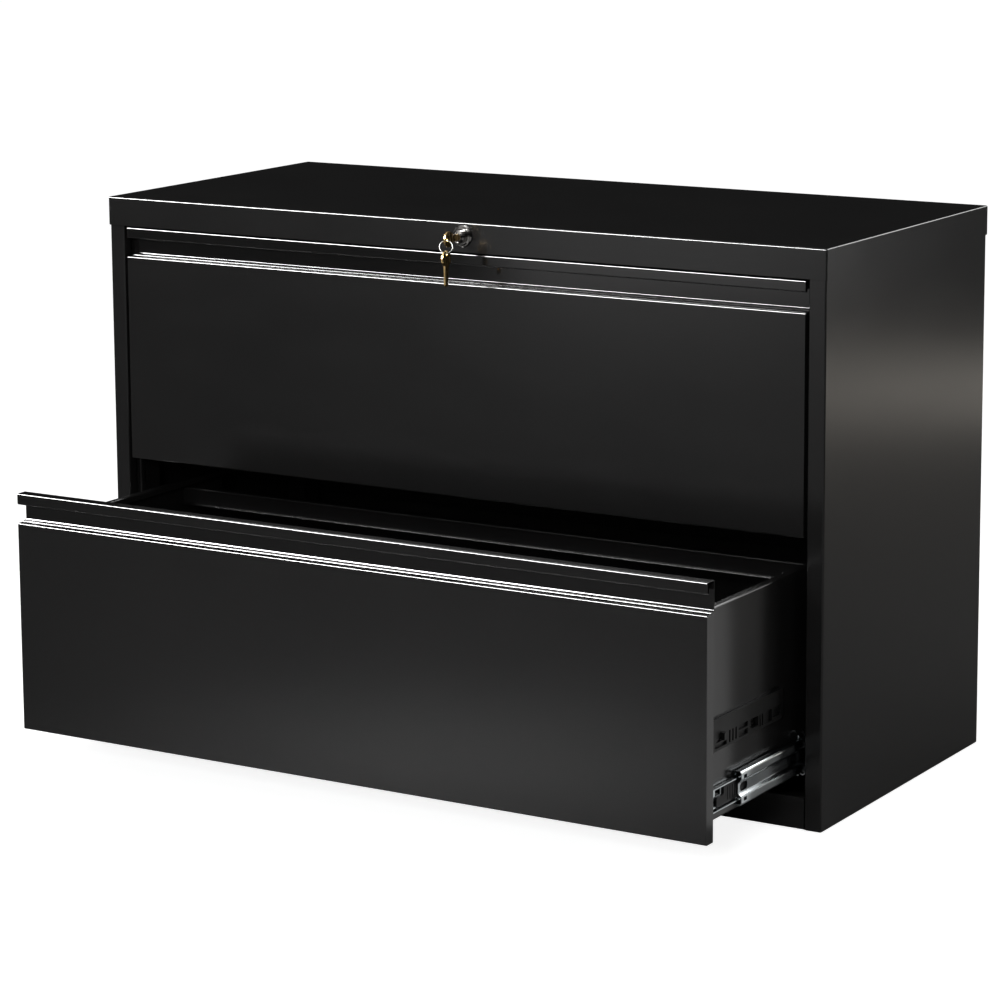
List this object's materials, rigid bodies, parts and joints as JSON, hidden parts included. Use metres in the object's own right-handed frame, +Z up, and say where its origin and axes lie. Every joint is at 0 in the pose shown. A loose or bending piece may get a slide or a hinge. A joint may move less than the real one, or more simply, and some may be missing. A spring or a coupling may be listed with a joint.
{
  "type": "lateral filing cabinet",
  "caption": "Wide, low lateral filing cabinet in black painted steel, upper drawer shut and lower drawer part open on ball slides, full-width finger pulls, push lock with keys.",
  "frame": {"origin": "middle of the bounding box's footprint, on the floor, with the lower drawer part open as stored", "axes": "+X along the cabinet's width towards the side that carries the interlock strip, +Y from the drawer fronts towards the back panel, +Z up"},
  "size_m": [1.0668, 0.7178, 0.7207],
  "materials": {
    "black_paint": "semi-gloss black powder coat",
    "zinc_plate": "bright zinc plated cold rolled steel",
    "nickel_plate": "polished nickel plate",
    "key_brass": "worn bright brass",
    "black_plastic": "fine textured moulding",
    "ballast_iron": "rough sawn bare iron"
  },
  "bodies": {
    "cabinet": {"top_cap": "black_paint", "left_side_panel": "black_paint", "right_side_panel": "black_paint", "back_panel": "black_paint", "base_pan": "black_paint", "base_front_rail": "black_paint", "top_front_rail": "black_paint", "front_left_upright": "black_paint", "front_right_upright": "black_paint", "rear_left_upright": "black_paint", "rear_right_upright": "black_paint", "counterweight": "ballast_iron", "front_left_levelling_glide": "black_plastic", "front_right_levelling_glide": "black_plastic", "rear_left_levelling_glide": "black_plastic", "rear_right_levelling_glide": "black_plastic", "upper_left_slide_cabinet_member": "zinc_plate", "upper_right_slide_cabinet_member": "zinc_plate", "lower_left_slide_cabinet_member": "zinc_plate", "lower_right_slide_cabinet_member": "zinc_plate", "lock_housing": "nickel_plate"},
    "upper_drawer": {"upper_drawer_front": "black_paint", "upper_drawer_inner_front": "black_paint", "upper_drawer_left_side": "black_paint", "upper_drawer_right_side": "black_paint", "upper_drawer_bottom": "black_paint", "upper_drawer_back": "black_paint", "upper_drawer_front_hang_rail": "black_paint", "upper_drawer_rear_hang_rail": "black_paint", "upper_drawer_interlock_strip": "black_plastic", "upper_left_slide_drawer_member": "zinc_plate", "upper_right_slide_drawer_member": "zinc_plate"},
    "lower_drawer": {"lower_drawer_front": "black_paint", "lower_drawer_inner_front": "black_paint", "lower_drawer_left_side": "black_paint", "lower_drawer_right_side": "black_paint", "lower_drawer_bottom": "black_paint", "lower_drawer_back": "black_paint", "lower_drawer_front_hang_rail": "black_paint", "lower_drawer_rear_hang_rail": "black_paint", "lower_drawer_interlock_strip": "black_plastic", "lower_left_slide_drawer_member": "zinc_plate", "lower_right_slide_drawer_member": "zinc_plate"},
    "upper_left_slide_middle": {"upper_left_slide_middle_member": "zinc_plate"},
    "upper_right_slide_middle": {"upper_right_slide_middle_member": "zinc_plate"},
    "lower_left_slide_middle": {"lower_left_slide_middle_member": "zinc_plate"},
    "lower_right_slide_middle": {"lower_right_slide_middle_member": "zinc_plate"},
    "lock_plunger": {"lock_plunger": "nickel_plate"},
    "lock_plug": {"lock_plug": "nickel_plate"},
    "lock_key": {"lock_key": "key_brass"},
    "key_ring": {"key_ring": "nickel_plate"},
    "spare_key": {"spare_key": "key_brass"},
    "lock_rod": {"lock_rod": "zinc_plate"},
    "interlock_bar": {"interlock_bar": "zinc_plate"}
  },
  "joints": [
    {"name": "upper_drawer_slide", "type": "slide", "parent": "cabinet", "child": "upper_drawer", "axis": [0, -1, 0], "range_m": [0, 0.4064]},
    {"name": "lower_drawer_slide", "type": "slide", "parent": "cabinet", "child": "lower_drawer", "axis": [0, -1, 0], "range_m": [-0.2463, 0.1601]},
    {"name": "upper_left_middle_slide", "type": "slide", "parent": "cabinet", "child": "upper_left_slide_middle", "axis": [0, -1, 0], "range_m": [0, 0.285]},
    {"name": "upper_right_middle_slide", "type": "slide", "parent": "cabinet", "child": "upper_right_slide_middle", "axis": [0, -1, 0], "range_m": [0, 0.285]},
    {"name": "lower_left_middle_slide", "type": "slide", "parent": "cabinet", "child": "lower_left_slide_middle", "axis": [0, -1, 0], "range_m": [-0.1729, 0.1126]},
    {"name": "lower_right_middle_slide", "type": "slide", "parent": "cabinet", "child": "lower_right_slide_middle", "axis": [0, -1, 0], "range_m": [-0.1729, 0.1126]},
    {"name": "lock_push", "type": "slide", "parent": "cabinet", "child": "lock_plunger", "axis": [0, 1, 0], "range_m": [0, 0.0095], "stiffness_N_per_m": 150},
    {"name": "plug_turn", "type": "hinge", "parent": "lock_plunger", "child": "lock_plug", "pos_m": [0.025, -0.12715, 0.703], "axis": [0, 1, 0], "range_deg": [0, 90]},
    {"name": "key_pull", "type": "slide", "parent": "lock_plug", "child": "lock_key", "axis": [0, -1, 0], "range_m": [0, 0.02]},
    {"name": "ring_swing", "type": "hinge", "parent": "lock_key", "child": "key_ring", "pos_m": [0.025, -0.15345, 0.703], "axis": [1, 0, 0], "range_deg": [-60, 10], "stiffness_Nm_per_rad": 0.03},
    {"name": "spare_key_swing", "type": "hinge", "parent": "key_ring", "child": "spare_key", "pos_m": [0.02883, -0.15983, 0.68639], "axis": [1, 0, 0], "range_deg": [-60, 8]},
    {"name": "lock_rod_turn", "type": "hinge", "parent": "cabinet", "child": "lock_rod", "pos_m": [0.26, -0.05065, 0.681], "axis": [-1, 0, 0], "range_deg": [0, 25.4]},
    {"name": "interlock_bar_lift", "type": "slide", "parent": "cabinet", "child": "interlock_bar", "axis": [0, 0, 1], "range_m": [0, 0.0067]}
  ],
  "couplings": [
    {"joint": "upper_left_middle_slide", "follows": "upper_drawer_slide", "ratio": 0.7},
    {"joint": "upper_right_middle_slide", "follows": "upper_drawer_slide", "ratio": 0.7},
    {"joint": "lower_left_middle_slide", "follows": "lower_drawer_slide", "ratio": 0.7},
    {"joint": "lower_right_middle_slide", "follows": "lower_drawer_slide", "ratio": 0.7},
    {"joint": "lock_rod_turn", "follows": "lock_push", "rad_per_m": 46.5},
    {"joint": "interlock_bar_lift", "follows": "lock_push", "ratio": 0.7}
  ]
}
